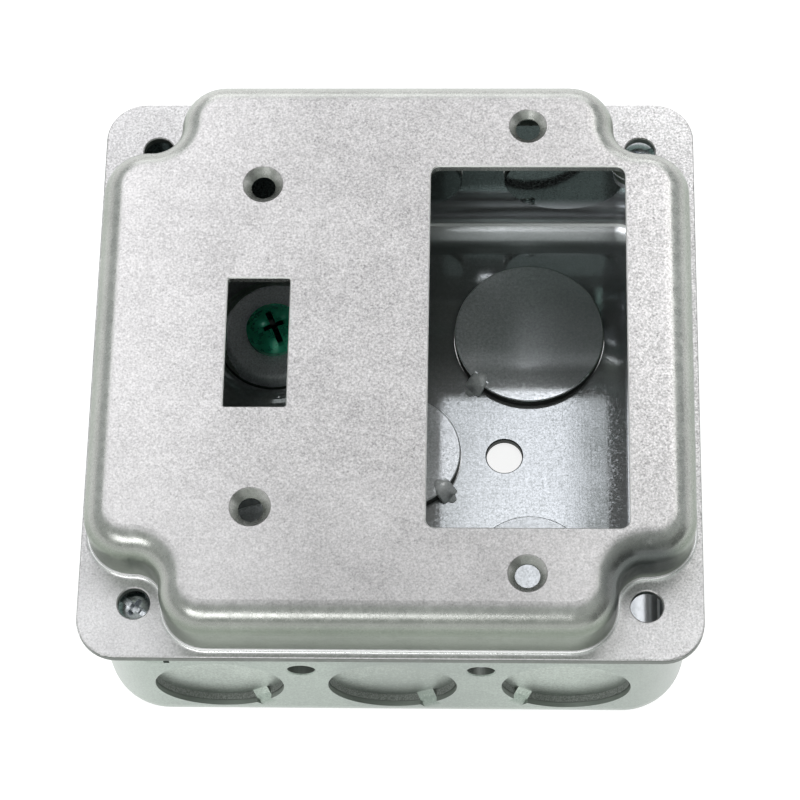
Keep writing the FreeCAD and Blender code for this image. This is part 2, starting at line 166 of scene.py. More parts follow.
class Nodes:
    """Short way to build one node tree. A value is a plain one or the socket that gives it."""

    def __init__(self, tree):
        self.tree = tree
        tree.nodes.clear()

    def feed(self, socket, value):
        if isinstance(value, bpy.types.NodeSocket):
            self.tree.links.new(value, socket)
        else:
            socket.default_value = value

    def add(self, kind, inputs, **settings):
        node = self.tree.nodes.new(kind)
        for name, value in settings.items():
            setattr(node, name, value)
        for name, value in inputs.items():
            self.feed(node.inputs[name], value)
        return node

    def place(self):
        """Place in the object's own frame."""
        return self.add("ShaderNodeTexCoord", {}).outputs["Object"]

    def parts(self, vector):
        """X, Y and Z of a vector."""
        return self.add("ShaderNodeSeparateXYZ", {"Vector": vector}).outputs

    def normal(self):
        return self.add("ShaderNodeNewGeometry", {}).outputs["True Normal"]

    def math(self, operation, first, *others, clamp=False):
        """One operation on a single value, on two, or on more in turn."""
        for other in others or (0.0,):
            node = self.add("ShaderNodeMath", {0: first, 1: other}, operation=operation,
                            use_clamp=clamp)
            first = node.outputs[0]
        return first

    def vector_math(self, operation, first, second):
        return self.add("ShaderNodeVectorMath", {0: first, 1: second}, operation=operation).outputs

    def level_distance(self, parts, centre):
        """Distance in plan from a centre whose Z is zero."""
        level = self.add("ShaderNodeCombineXYZ", {"X": parts["X"], "Y": parts["Y"]}).outputs[0]
        return self.vector_math("DISTANCE", level, centre)["Value"]

    def noise(self, place, scale, detail, roughness):
        return self.add("ShaderNodeTexNoise", {"Vector": place, "Scale": scale, "Detail": detail,
                                               "Roughness": roughness}).outputs["Fac"]

    def stretched_noise(self, place, stretch, detail, roughness):
        """Noise drawn out along the axes with the smaller scales."""
        stretched = self.add("ShaderNodeMapping", {"Vector": place, "Scale": stretch})
        return self.noise(stretched.outputs["Vector"], 1.0, detail, roughness)

    def span(self, value, low, high, out_low, out_high, smooth=False):
        """Ramp: out_low up to low, out_high from high on."""
        node = self.add("ShaderNodeMapRange", {"Value": value, "From Min": low, "From Max": high,
                                               "To Min": out_low, "To Max": out_high},
                        clamp=True, interpolation_type="SMOOTHSTEP" if smooth else "LINEAR")
        return node.outputs["Result"]

    def spread(self, noise, out_low, out_high):
        """A noise's range stretched from out_low to out_high."""
        return self.span(noise, NOISE_LOW, NOISE_HIGH, out_low, out_high)

    def swing(self, noise, reach):
        """A noise's range stretched to reach on either side of zero."""
        return self.spread(noise, -reach, reach)

    def mix(self, factor, first, second):
        """Mix of two colours, which are the node's inputs 6 and 7."""
        node = self.add("ShaderNodeMix", {}, data_type="RGBA", blend_type="MIX")
        for index, value in ((0, factor), (6, first), (7, second)):
            self.feed(node.inputs[index], value)
        return node.outputs[2]

    def bump(self, strength, distance, height):
        node = self.add("ShaderNodeBump", {"Strength": strength, "Distance": distance,
                                           "Height": height})
        return node.outputs["Normal"]

    def surface(self, shader):
        """Send a shader to the material's output."""
        out = self.add("ShaderNodeOutputMaterial", {})
        self.tree.links.new(shader.outputs[0], out.inputs["Surface"])


def new_material(name):
    material = bpy.data.materials.new(name)
    material.use_nodes = True
    return material, Nodes(material.node_tree)


# Cover, in metres: heights of the drawn wall, of the painted highlight along its foot and of the edges
FOOT_LOW = 0.03974
FOOT_HIGH = 0.0406
FOOT_START = 0.0001
FOOT_END = 0.0002
WALL_HIGH = 0.0498
WALL_FADE = 0.0014
FLANGE_EDGE_TOP = 0.0396
FLANGE_TOP = 0.0398
FILLET_LOW = 0.0485
FILLET_START = 0.0008
PUNCHED_LOW = 0.05135
FACE_HIGH = 0.0516

# Cover: how far the openings reach in Y from the middle, where they part in X, and limits of a
# normal's Z
SLOT_HALF_HEIGHT = 0.0125
WINDOW_HALF_HEIGHT = 0.0345
OPENINGS_PART = 0.001
PUNCHED_UPRIGHT = 0.85
EDGE_UPRIGHT = 0.6
UNDERSIDE = (-0.6, -0.3, 1.0, 0.0)

# Cover: painted shade in the notch at the lower right, its centre, its fade in plan and its fade up the
# wall
SHADED_NOTCH = (0.043, -0.043, 0.0)
NOTCH_FADE = (0.0055, 0.0105, 1.0, 0.0)
NOTCH_RISE = (FOOT_HIGH + 0.0006, FOOT_HIGH + 0.0020, 0.0, 0.8)

# Cover's noises: scale in 1/m, detail, roughness
COVER_GRAIN = (2700.0, 3.0, 0.7)
COVER_BLOTCH = (620.0, 3.0, 0.6)
COVER_MOTTLE = (190.0, 3.0, 0.6)
COVER_CLOUD = (45.0, 4.0, 0.6)
COVER_PITS = (1500.0, 2.0, 0.5)

# Cover's shade: middle, each noise's swing, and how much calmer fillet and wall are
COVER_SHADE = 0.42
GRAIN_SWING = 0.37
BLOTCH_SWING = 0.10
MOTTLE_SWING = 0.04
CLOUD_SWING = 0.08
PITS_RANGE = (0.66, 0.72, 0.0, 1.0)
PITS_DEPTH = 0.26
CALM_SHARE = 0.6

# Cover's ramps, in metres and shade: the grain is weaker in front and stronger at the right,
# and painted light makes the face lighter at both sides and the flange lighter in front
GRAIN_IN_FRONT = (-0.044, -0.018, 0.62, 1.0)
GRAIN_AT_RIGHT = (0.034, 0.043, 0.95, 1.4)
FACE_PAINTED_LIGHT_LEFT = (-0.047, -0.012, 0.25, -0.04)
FACE_PAINTED_LIGHT_RIGHT = (0.018, 0.048, 0.0, 0.18)
FLANGE_PAINTED_LIGHT_FRONT = (-0.050, 0.0, 0.13, 0.0)

# Cover's tones, darkest and lightest, and its plain colours
FACE_TONES = ((0.28, 0.27, 0.273, 1.0), (0.86, 0.835, 0.845, 1.0))
# painted light: the flange's tones are lighter than the face's
FLANGE_LIT_TONES = ((0.34, 0.33, 0.335, 1.0), (0.99, 0.97, 0.985, 1.0))
FILLET_TONES = ((0.26, 0.262, 0.252, 1.0), (0.82, 0.828, 0.80, 1.0))
# painted shade: the drawn wall's tones are darker, and greener, than the face's
COVER_WALL_SHADED_TONES = ((0.12, 0.142, 0.115, 1.0), (0.385, 0.425, 0.365, 1.0))
NOTCH_SHADE_COLOUR = (0.055, 0.062, 0.066, 1.0)
# painted highlight: the foot of the drawn wall is nearly white
FOOT_HIGHLIGHT_COLOUR = (0.90, 0.91, 0.91, 1.0)
PUNCHED_EDGE_HIGHLIGHT = (0.97, 0.97, 0.96, 1.0)
# painted shade: the underside is darker and greener than the same sheet on top
UNDERSIDE_SHADE = (0.19, 0.27, 0.24, 1.0)
# painted shade: the flange's outer edge is darkened as the shadow gap under it
FLANGE_EDGE_SHADE = (0.16, 0.175, 0.16, 1.0)

# Cover's finish: roughness, and how much smoother wall, foot and fillet are
COVER_METALLIC = 0.85
COVER_ROUGHNESS = (0.36, 0.50)
WALL_SMOOTHER = 0.08
FOOT_SMOOTHER = 0.22
FILLET_SMOOTHER = 0.16
GRAIN_RELIEF = 0.7
BLOTCH_RELIEF = 0.8
COVER_BUMP = (0.5, 0.00006)


def cover_masks(nodes, parts, upright):
    """Masks of the cover's drawn wall, its foot, its fillet and its punched openings' edges; foot and
    edges get a painted highlight.
    """
    height = parts["Z"]
    wall = nodes.math("MULTIPLY", nodes.span(height, FOOT_HIGH - FOOT_END, FOOT_HIGH, 0.0, 1.0),
                      nodes.span(height, WALL_HIGH - WALL_FADE, WALL_HIGH + WALL_FADE, 1.0, 0.0,
                                 smooth=True))
    foot = nodes.math("MULTIPLY", nodes.span(height, FOOT_LOW, FOOT_LOW + FOOT_START, 0.0, 1.0),
                      nodes.span(height, FOOT_HIGH - FOOT_END, FOOT_HIGH, 1.0, 0.0))
    fillet = nodes.math("MULTIPLY",
                        nodes.span(height, FILLET_LOW, FILLET_LOW + FILLET_START, 0.0, 1.0),
                        nodes.span(height, PUNCHED_LOW, FACE_HIGH, 1.0, 0.0, smooth=True))
    opening = nodes.span(parts["X"], -OPENINGS_PART, OPENINGS_PART, SLOT_HALF_HEIGHT,
                         WINDOW_HALF_HEIGHT)
    # painted highlight: the edges round the slot and the window are nearly white
    punched = nodes.math("MULTIPLY", nodes.math("GREATER_THAN", height, PUNCHED_LOW),
                         nodes.math("LESS_THAN", upright, PUNCHED_UPRIGHT),
                         nodes.math("LESS_THAN", nodes.math("ABSOLUTE", parts["Y"]), opening))
    return wall, foot, fillet, punched


def cover_material():
    """Matt galvanised sheet: salt-and-pepper grain, with painted shade darker down its drawn wall."""
    material, nodes = new_material("matt_galvanised_sheet")
    place = nodes.place()
    parts = nodes.parts(place)
    height = parts["Z"]
    upright = nodes.parts(nodes.normal())["Z"]
    wall, foot, fillet, punched = cover_masks(nodes, parts, upright)
    grain = nodes.noise(place, *COVER_GRAIN)
    blotch = nodes.noise(place, *COVER_BLOTCH)
    pits = nodes.span(nodes.noise(place, *COVER_PITS), *PITS_RANGE)
    calm = nodes.math("SUBTRACT", 1.0, nodes.math("MULTIPLY", nodes.math("MAXIMUM", fillet, wall),
                                                  CALM_SHARE))
    strength = nodes.math("MULTIPLY", nodes.span(parts["Y"], *GRAIN_IN_FRONT),
                          nodes.span(parts["X"], *GRAIN_AT_RIGHT))

    shade = nodes.math("ADD", nodes.swing(grain, GRAIN_SWING), nodes.swing(blotch, BLOTCH_SWING))
    shade = nodes.math("SUBTRACT", shade, nodes.math("MULTIPLY", pits, PITS_DEPTH))
    shade = nodes.math("MULTIPLY", shade, calm, strength)
    shade = nodes.math("ADD", shade, nodes.swing(nodes.noise(place, *COVER_MOTTLE), MOTTLE_SWING),
                       nodes.swing(nodes.noise(place, *COVER_CLOUD), CLOUD_SWING), COVER_SHADE)
    # painted light: the face's colour is lighter towards its left and right sides
    face_grain_and_painted_light = nodes.math("ADD", shade, nodes.span(parts["X"], *FACE_PAINTED_LIGHT_LEFT),
                            nodes.span(parts["X"], *FACE_PAINTED_LIGHT_RIGHT))
    # painted light: the flange is lighter overall and lighter still in front
    flange_grain_and_painted_light = nodes.math("ADD", shade, nodes.span(parts["Y"], *FLANGE_PAINTED_LIGHT_FRONT))

    flange = nodes.math("LESS_THAN", height, FLANGE_TOP)
    flange_edge = nodes.math("MULTIPLY", nodes.math("LESS_THAN", height, FLANGE_EDGE_TOP),
                             nodes.math("LESS_THAN", nodes.math("ABSOLUTE", upright), EDGE_UPRIGHT))
    # painted shade: the lower right notch's wall is darkened round its corner
    notch_painted_shade = nodes.math("MULTIPLY", nodes.span(nodes.level_distance(parts, SHADED_NOTCH),
                                                  *NOTCH_FADE, smooth=True),
                           nodes.span(height, *NOTCH_RISE))
    colour = nodes.mix(face_grain_and_painted_light, *FACE_TONES)
    for mask, over in ((flange, nodes.mix(flange_grain_and_painted_light, *FLANGE_LIT_TONES)),
                       (fillet, nodes.mix(shade, *FILLET_TONES)),
                       (wall, nodes.mix(shade, *COVER_WALL_SHADED_TONES)),
                       (notch_painted_shade, NOTCH_SHADE_COLOUR),
                       (foot, FOOT_HIGHLIGHT_COLOUR),
                       (punched, PUNCHED_EDGE_HIGHLIGHT),
                       (nodes.span(upright, *UNDERSIDE), UNDERSIDE_SHADE),
                       (flange_edge, FLANGE_EDGE_SHADE)):
        colour = nodes.mix(mask, colour, over)

    roughness = nodes.spread(blotch, *COVER_ROUGHNESS)
    for mask, smoother in ((wall, WALL_SMOOTHER), (foot, FOOT_SMOOTHER),
                           (fillet, FILLET_SMOOTHER)):
        roughness = nodes.math("SUBTRACT", roughness, nodes.math("MULTIPLY", mask, smoother))
    relief = nodes.math("ADD", nodes.math("MULTIPLY", grain, GRAIN_RELIEF),
                        nodes.math("MULTIPLY", blotch, BLOTCH_RELIEF))
    relief = nodes.math("MULTIPLY", relief, calm)
    nodes.surface(nodes.add("ShaderNodeBsdfPrincipled", {
        "Base Color": colour, "Metallic": COVER_METALLIC, "Roughness": roughness,
        "Normal": nodes.bump(*COVER_BUMP, relief)}))
    return material


# Box, in metres: its middle, to tell outside from inside, and where its floor, bend and walls are
BOX_MIDDLE = (0.0, 0.0, 0.020)
OUTSIDE_RANGE = (-0.0004, 0.0004, 0.0, 1.0)
FLOOR_HALF = 0.041
FLOOR_TOP = 0.00165
FLOOR_DISC_FACE = 0.0034
FLOOR_DISC_TOP = 0.0038
BEND_INNER = 0.0415
BEND_HIGH = 0.0105
BEND_FADE = (BEND_HIGH - 0.002, BEND_HIGH, 1.0, 0.0)
WALL_START = (BEND_HIGH - 0.001, BEND_HIGH + 0.003, 0.0, 1.0)
WALL_DISC_FACE = 0.0497
WALL_DISC_REACH = 0.0415
WALL_INNER = 0.0471

# Box: limits, as shares of a normal, of what counts as a sheared edge or as a disc's bevel
BACK_SHEARED = (FLOOR_TOP, FLOOR_TOP + 0.0001, 0.85, 0.5)
WALL_SHEARED = (0.3, 0.6, 1.0, 0.0)
BEVEL_UPRIGHT = 0.7
BEVEL_SPREAD = 0.15

# Box: ramps along Y over the discs in the back, dull to the rear and painted light from the middle on
DULL_DISC = (0.0150, 0.0150 + 0.004, 0.0, 1.0)
PAINTED_LIGHT_DISC = (-0.0125, -0.0120, 0.0, 1.0)

# Box's noises: scale in 1/m, along each axis where the noise is stretched, detail, roughness
BRUSHED_ALONG = ((90.0, 2600.0, 2600.0), 3.0, 0.6)
BRUSHED_ACROSS = ((2600.0, 120.0, 120.0), 3.0, 0.6)
BOX_CLOUD = (90.0, 3.0, 0.6)
BOX_GRAIN = (3000.0, 3.0, 0.7)
BOX_SCUFFS = (1700.0, 2.0, 0.6)

# Box's shade: each noise's swing, the speckle's middle, and its ramps along X, in metres and shade;
# the ramps paint light on the box and paint shade on its outside at the right
BRUSHED_SWING = 0.09
BOX_CLOUD_SWING = 0.14
BOX_GRAIN_SWING = 0.55
SPECKLE_MIDDLE = 0.5
BOX_PAINTED_LIGHT_RIGHT = (0.006, 0.021, 0.05, 0.52)
BOX_PAINTED_LIGHT_LEFT = (-0.012, -0.002, 0.45, 0.0)
OUTSIDE_SHADED_AT_RIGHT = (0.030, 0.048, 0.0, 0.45)

# Box's tones, darkest and lightest, and its plain colours
INSIDE_TONES = ((0.30, 0.315, 0.325, 1.0), (0.66, 0.68, 0.72, 1.0))
# painted shade: the inner walls are a darker, greener copy of the floor's tones
INNER_WALL_SHADED_TONES = ((0.07, 0.10, 0.095, 1.0), (0.17, 0.22, 0.21, 1.0))
PUSHED_LIT_TONES = ((0.52, 0.54, 0.57, 1.0), (0.94, 0.96, 1.0, 1.0))
OUTSIDE_TONES = ((0.09, 0.14, 0.105, 1.0), (0.27, 0.35, 0.285, 1.0))
WALL_DISC_LIT_TONES = ((0.14, 0.19, 0.15, 1.0), (0.42, 0.50, 0.43, 1.0))
# painted highlight: the discs' bevels are nearly white
BEVEL_HIGHLIGHT_COLOUR = (0.95, 0.97, 0.97, 1.0)
OUTSIDE_RIGHT_SHADE = (0.06, 0.08, 0.065, 1.0)
WALL_SHEARED_COLOUR = (0.26, 0.285, 0.26, 1.0)
# painted shade: the back's sheared edges are nearly black
BACK_SHEARED_SHADE = (0.03, 0.035, 0.03, 1.0)

# Box's finish: roughness of the bright sheet, what wear adds to it, and the least of each region
BRIGHT_ROUGHNESS = (0.35, 0.65, 0.03, 0.07)
WORN_RANGE = (0.50, 0.70, 0.0, 1.0)
WORN_ROUGHNESS = 0.12
DULL_ROUGHNESS = 0.27
BOSS_ROUGHNESS = 0.50
BEND_ROUGHNESS = 0.20
BEVEL_ROUGHNESS = 0.50
OUTSIDE_ROUGHNESS = 0.30
SHEARED_ROUGHNESS = 0.55

# Box's haze is a coat, thinner on the inner walls and on the back's sheared edges
INNER_WALL_BARE = 0.75
BACK_SHEARED_BARE = 0.95
HAZE_ROUGHNESS = 0.44
HAZE_IOR = 2.4

# Box: how much less metallic it is where chalky, along X in metres, and how the scuffs vary that
BOX_METALLIC = 0.95
CHALKY_FLOOR = (0.008, 0.030, 0.22, 0.02)
CHALKY_ON_DISCS = (0.012, 0.036, 0.32, 0.05)
CHALKY_SCUFFS = (0.35, 0.65, 0.8, 1.2)
BRUSHED_RELIEF = 1.6
BOX_BUMP = (0.08, 0.00002)


def sheared_masks(nodes, parts, normal_parts, reach):
    """Masks of the sheared edges of the holes and discs: those in the back, those in the walls."""
    from_side = nodes.math("ABSOLUTE", parts["X"])
    from_front = nodes.math("ABSOLUTE", parts["Y"])
    on_back = nodes.math("MULTIPLY", nodes.math("LESS_THAN", reach, FLOOR_HALF),
                         nodes.math("LESS_THAN", parts["Z"], FLOOR_DISC_TOP))
    upright = nodes.math("ABSOLUTE", normal_parts["Z"])
    edge_on_back = nodes.math("LESS_THAN", upright, nodes.span(parts["Z"], *BACK_SHEARED))
    on_wall = nodes.math("GREATER_THAN", reach, WALL_INNER)
    on_side_wall = nodes.math("GREATER_THAN", from_side, from_front)
    across_side = nodes.math("MULTIPLY", on_side_wall, nodes.math("ABSOLUTE", normal_parts["X"]))
    across_front = nodes.math("MULTIPLY", nodes.math("SUBTRACT", 1.0, on_side_wall),
                              nodes.math("ABSOLUTE", normal_parts["Y"]))
    edge_on_wall = nodes.span(nodes.math("ADD", across_side, across_front), *WALL_SHEARED)
    return (nodes.math("MULTIPLY", on_back, edge_on_back),
            nodes.math("MULTIPLY", on_wall, edge_on_wall))


def box_material():
    """Bright smooth sheet: a clear mirror with a haze over it, duller and greener outside."""
    material, nodes = new_material("smooth_galvanised_sheet")
    place = nodes.place()
    parts = nodes.parts(place)
    height = parts["Z"]
    normal = nodes.normal()
    normal_parts = nodes.parts(normal)
    from_side = nodes.math("ABSOLUTE", parts["X"])
    from_front = nodes.math("ABSOLUTE", parts["Y"])
    reach = nodes.math("MAXIMUM", from_side, from_front)
    from_middle = nodes.vector_math("SUBTRACT", place, BOX_MIDDLE)["Vector"]
    facing_out = nodes.vector_math("DOT_PRODUCT", normal, from_middle)["Value"]

    outside = nodes.span(facing_out, *OUTSIDE_RANGE)
    back_sheared, wall_sheared = sheared_masks(nodes, parts, normal_parts, reach)
    sheared = nodes.math("ADD", back_sheared, wall_sheared, clamp=True)
    past_floor = nodes.math("GREATER_THAN", reach, BEND_INNER)
    bend = nodes.math("MULTIPLY", past_floor, nodes.span(height, *BEND_FADE))
    disc = nodes.math("MULTIPLY", nodes.math("GREATER_THAN", height, FLOOR_DISC_FACE),
                      nodes.math("LESS_THAN", height, FLOOR_DISC_TOP))
    dull = nodes.math("MULTIPLY", disc, nodes.span(parts["Y"], *DULL_DISC))
    boss = nodes.math("MULTIPLY", nodes.math("LESS_THAN", reach, FLOOR_HALF),
                      nodes.math("GREATER_THAN", height, FLOOR_DISC_TOP))
    # painted light: the boss, and the discs from the middle on, are lighter
    pushed = nodes.math("MAXIMUM", nodes.math("MULTIPLY", disc,
                                              nodes.span(parts["Y"], *PAINTED_LIGHT_DISC)), boss)
    lean = nodes.math("SUBTRACT", nodes.math("ABSOLUTE", normal_parts["Z"]), BEVEL_UPRIGHT)
    bevel = nodes.math("MULTIPLY", disc, nodes.math("LESS_THAN", nodes.math("ABSOLUTE", lean),
                                                    BEVEL_SPREAD))
    wall = nodes.math("MULTIPLY", past_floor, nodes.span(height, *WALL_START))
    # painted light: the walls' discs are lighter than the walls round them
    wall_disc_painted_light = nodes.math("MULTIPLY", wall, nodes.math("LESS_THAN", reach, WALL_DISC_FACE),
                           nodes.math("LESS_THAN", nodes.math("MINIMUM", from_side, from_front),
                                      WALL_DISC_REACH))

    cloud = nodes.noise(place, *BOX_CLOUD)
    grain = nodes.noise(place, *BOX_GRAIN)
    scuffs = nodes.noise(place, *BOX_SCUFFS)
    brushed = nodes.math(
        "ADD", nodes.swing(nodes.stretched_noise(place, *BRUSHED_ALONG), BRUSHED_SWING),
        nodes.swing(nodes.stretched_noise(place, *BRUSHED_ACROSS), BRUSHED_SWING))
    shade = nodes.math("MULTIPLY", brushed, nodes.math("SUBTRACT", 1.0, bend))
    shade = nodes.math("ADD", shade, nodes.swing(cloud, BOX_CLOUD_SWING),
                       nodes.swing(grain, BOX_GRAIN_SWING))
    speckled = nodes.math("ADD", shade, SPECKLE_MIDDLE)
    # painted light: the box is lighter to the right of the middle and to its left
    shade = nodes.math("ADD", shade, nodes.span(parts["X"], *BOX_PAINTED_LIGHT_RIGHT),
                       nodes.span(parts["X"], *BOX_PAINTED_LIGHT_LEFT))

    inside_colour = nodes.mix(shade, *INSIDE_TONES)
    for mask, over in ((wall, nodes.mix(shade, *INNER_WALL_SHADED_TONES)),
                       (pushed, nodes.mix(speckled, *PUSHED_LIT_TONES)),
                       (bevel, BEVEL_HIGHLIGHT_COLOUR)):
        inside_colour = nodes.mix(mask, inside_colour, over)
    outside_colour = nodes.mix(wall_disc_painted_light, nodes.mix(shade, *OUTSIDE_TONES),
                               nodes.mix(shade, *WALL_DISC_LIT_TONES))
    # painted shade: the outside is darkened towards its right
    outside_colour = nodes.mix(nodes.span(parts["X"], *OUTSIDE_SHADED_AT_RIGHT), outside_colour,
                               OUTSIDE_RIGHT_SHADE)
    colour = nodes.mix(outside, inside_colour, outside_colour)
    colour = nodes.mix(wall_sheared, colour, WALL_SHEARED_COLOUR)
    colour = nodes.mix(back_sheared, colour, BACK_SHEARED_SHADE)

    worn = nodes.span(scuffs, *WORN_RANGE)
    roughness = nodes.math("ADD", nodes.span(cloud, *BRIGHT_ROUGHNESS),
                           nodes.math("MULTIPLY", worn, WORN_ROUGHNESS))
    for mask, least in ((dull, DULL_ROUGHNESS), (boss, BOSS_ROUGHNESS), (bend, BEND_ROUGHNESS),
                        (bevel, BEVEL_ROUGHNESS), (outside, OUTSIDE_ROUGHNESS),
                        (sheared, SHEARED_ROUGHNESS)):
        roughness = nodes.math("MAXIMUM", roughness, nodes.math("MULTIPLY", mask, least))
    inner_wall = nodes.math("MULTIPLY", wall, nodes.math("SUBTRACT", 1.0, outside))
    bare = nodes.math("ADD", nodes.math("MULTIPLY", inner_wall, INNER_WALL_BARE),
                      nodes.math("MULTIPLY", back_sheared, BACK_SHEARED_BARE), clamp=True)
    haze = nodes.math("SUBTRACT", 1.0, bare)
    chalky = nodes.math("MULTIPLY", nodes.math("LESS_THAN", reach, BEND_INNER),
                        nodes.span(parts["X"], *CHALKY_FLOOR))
    chalky = nodes.math("ADD", chalky, nodes.math("MULTIPLY", disc,
                                                  nodes.span(parts["X"], *CHALKY_ON_DISCS)))
    chalky = nodes.math("MULTIPLY", chalky, nodes.span(scuffs, *CHALKY_SCUFFS))
    relief = nodes.math("ADD", nodes.math("MULTIPLY", brushed, BRUSHED_RELIEF), grain)
    nodes.surface(nodes.add("ShaderNodeBsdfPrincipled", {
        "Base Color": colour, "Metallic": nodes.math("SUBTRACT", BOX_METALLIC, chalky),
        "Roughness": roughness, "Normal": nodes.bump(*BOX_BUMP, relief),
        "Coat Weight": haze, "Coat Roughness": HAZE_ROUGHNESS, "Coat IOR": HAZE_IOR}))
    return material


# Stretched ties: noise, darkest and lightest tone (painted light), finish
TIE_GRAIN = (1500.0, 3.0, 0.6)
TIE_LIT_TONES = ((0.84, 0.86, 0.88, 1.0), (0.95, 0.96, 0.97, 1.0))
TIE_METALLIC = 0.1
TIE_ROUGHNESS = (0.24, 0.32)

# Torn edges: noise, finish, and the tones of those under the back's discs, darkened as painted shade,
# and the walls' discs
BURR_GRAIN = (4000.0, 2.0, 0.6)
BURR_METALLIC = 0.5
BURR_ROUGHNESS = 0.6
SHADED_TORN_TONES = ((0.02, 0.02, 0.02, 1.0), (0.07, 0.075, 0.07, 1.0))
LIGHT_TORN_TONES = ((0.12, 0.13, 0.12, 1.0), (0.34, 0.36, 0.34, 1.0))

# Zinc screws: noises, darkest and lightest tone, finish
ZINC_GRAIN = (3000.0, 2.0, 0.6)
ZINC_CLOUD = (500.0, 2.0, 0.5)
ZINC_TONES = ((0.42, 0.44, 0.47, 1.0), (0.74, 0.76, 0.79, 1.0))
ZINC_ROUGHNESS = (0.16, 0.34)
ZINC_BUMP = (0.15, 0.00003)

# Green screw: noise, tones and finish
GREEN_CLOUD = (700.0, 3.0, 0.6)
GREEN_TONES = ((0.035, 0.560, 0.330, 1.0), (0.060, 0.700, 0.430, 1.0))
GREEN_METALLIC = 0.5
GREEN_ROUGHNESS = (0.24, 0.34)
GREEN_COAT_ROUGHNESS = 0.10
RECESS_SHADE = (0.002, 0.012, 0.008, 1.0)

# Ground screw's head, in metres: top, radius of the crown's curve, how far its recess reaches
# from the axis, and how deep under the crown the recess begins
GROUND_HEAD_TOP = 0.0082
GROUND_HEAD_CURVE = 0.0097
GROUND_RECESS_REACH = 0.0046
GROUND_RECESS_START = (0.00022, 0.00040, 0.0, 1.0)


def painted_light_tie_material():
    """Pale, smooth sheet where a knockout hangs on; its paleness is painted light."""
    material, nodes = new_material("painted_light_tie_sheet")
    grain = nodes.noise(nodes.place(), *TIE_GRAIN)
    nodes.surface(nodes.add("ShaderNodeBsdfPrincipled", {
        "Base Color": nodes.mix(nodes.spread(grain, 0.0, 1.0), *TIE_LIT_TONES),
        "Metallic": TIE_METALLIC, "Roughness": nodes.spread(grain, *TIE_ROUGHNESS)}))
    return material


def burr_material(name, tones):
    """Torn edge under a knockout's disc, rough; the back's copy is painted shade, nearly black."""
    material, nodes = new_material(name)
    grain = nodes.noise(nodes.place(), *BURR_GRAIN)
    nodes.surface(nodes.add("ShaderNodeBsdfPrincipled", {
        "Base Color": nodes.mix(nodes.spread(grain, 0.0, 1.0), *tones),
        "Metallic": BURR_METALLIC, "Roughness": BURR_ROUGHNESS}))
    return material


def screw_material():
    """Bright zinc, a little dull in the turning marks."""
    material, nodes = new_material("bright_zinc")
    place = nodes.place()
    grain = nodes.noise(place, *ZINC_GRAIN)
    cloud = nodes.noise(place, *ZINC_CLOUD)
    nodes.surface(nodes.add("ShaderNodeBsdfPrincipled", {
        "Base Color": nodes.mix(nodes.spread(grain, 0.0, 1.0), *ZINC_TONES), "Metallic": 1.0,
        "Roughness": nodes.spread(cloud, *ZINC_ROUGHNESS),
        "Normal": nodes.bump(*ZINC_BUMP, grain)}))
    return material


def screw_axis(screw_name):
    """X and Y of a screw's axis."""
    low_corner, high_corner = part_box(screw_name)
    return (low_corner[0] + high_corner[0]) / 2, (low_corner[1] + high_corner[1]) / 2


def green_material():
    """Green coat of the ground screw: dark, glossy, slightly uneven, with painted shade nearly black in
    the recess.
    """
    material, nodes = new_material("glossy_green_coat")
    place = nodes.place()
    parts = nodes.parts(place)
    cloud = nodes.noise(place, *GREEN_CLOUD)
    from_axis = nodes.level_distance(parts, (*screw_axis("ground_screw"), 0.0))
    drop = nodes.math("DIVIDE", nodes.math("MULTIPLY", from_axis, from_axis), 2 * GROUND_HEAD_CURVE)
    under_crown = nodes.math("SUBTRACT", GROUND_HEAD_TOP, drop, parts["Z"])
    # painted shade: the recess under the crown is nearly black
    recess = nodes.math("MULTIPLY", nodes.span(under_crown, *GROUND_RECESS_START),
                        nodes.math("LESS_THAN", from_axis, GROUND_RECESS_REACH))
    colour = nodes.mix(recess, nodes.mix(nodes.spread(cloud, 0.0, 1.0), *GREEN_TONES),
                       RECESS_SHADE)
    nodes.surface(nodes.add("ShaderNodeBsdfPrincipled", {
        "Base Color": colour, "Metallic": GREEN_METALLIC,
        "Roughness": nodes.spread(cloud, *GREEN_ROUGHNESS),
        "Coat Weight": 1.0, "Coat Roughness": GREEN_COAT_ROUGHNESS}))
    return material


def dress(node_name, material):
    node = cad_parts[node_name]
    node.data.materials.clear()
    node.data.materials.append(material)


def add_piece(name, form, material):
    """New piece of the part from a finished form."""
    bmesh.ops.recalc_face_normals(form, faces=form.faces)
    mesh = bpy.data.meshes.new(name)
    form.to_mesh(mesh)
    form.free()
    mesh.materials.append(material)
    piece = new_object(name, mesh)
    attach(piece, "root")


def close_bar(form, rings):
    """Skin of a bar with three edges, from one ring of three corners to the next, and its two ends."""
    for ring, after in zip(rings, rings[1:]):
        for corner in range(3):
            following = (corner + 1) % 3
            form.faces.new((ring[corner], after[corner], after[following], ring[following]))
    form.faces.new(rings[0])
    form.faces.new(rings[-1])


